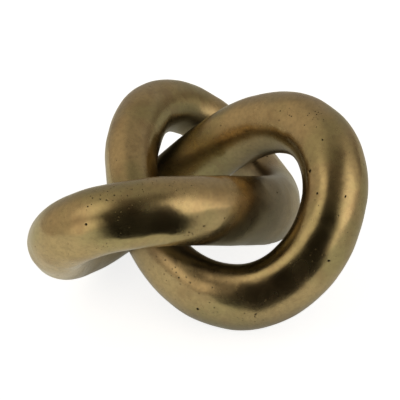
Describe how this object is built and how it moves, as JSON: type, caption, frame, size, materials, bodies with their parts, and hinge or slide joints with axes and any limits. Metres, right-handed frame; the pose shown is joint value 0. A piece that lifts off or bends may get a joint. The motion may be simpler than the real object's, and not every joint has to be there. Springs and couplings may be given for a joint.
{
  "type": "metal knot puzzle",
  "caption": "Free-standing cast-brass knot puzzle of interlocking lobes joined by guide dowels, drawn apart only by sliding every lobe outwards together.",
  "frame": {"origin": "centre of the knot, on the axis round which its three joints are evenly spaced, at the middle height of the strand's path", "axes": "+Z along the axis of the three joints, upwards from the ground flats it rests on; +X and +Y level, turned so that the joint between lobe_3 and lobe_1 lies 21 degrees round from +X"},
  "size_m": [0.1183, 0.1273, 0.0681],
  "materials": {
    "cast_brass": "antique satin with dark patina and small casting pits",
    "dowel_steel": "ground",
    "ring_rubber": "matte",
    "screw_steel": "black oxide"
  },
  "bodies": {
    "lobe_1_set": {"lobe_1": "cast_brass", "guide_dowel_1": "dowel_steel", "friction_ring_1": "ring_rubber", "lock_screw_1": "screw_steel"},
    "lobe_2_set": {"lobe_2": "cast_brass", "guide_dowel_2": "dowel_steel", "friction_ring_2": "ring_rubber", "lock_screw_2": "screw_steel"},
    "lobe_3_set": {"lobe_3": "cast_brass", "guide_dowel_3": "dowel_steel", "friction_ring_3": "ring_rubber", "lock_screw_3": "screw_steel"}
  },
  "joints": [
    {"name": "lobe_2_slide", "type": "slide", "parent": "lobe_1_set", "child": "lobe_2_set", "axis": [0.9262, 0.3771, 0], "range_m": [0, 0.011]},
    {"name": "lobe_3_slide", "type": "slide", "parent": "lobe_1_set", "child": "lobe_3_set", "axis": [0.1365, 0.9906, 0], "range_m": [0, 0.011]}
  ],
  "couplings": [
    {"joint": "lobe_3_slide", "follows": "lobe_2_slide", "ratio": 1}
  ]
}
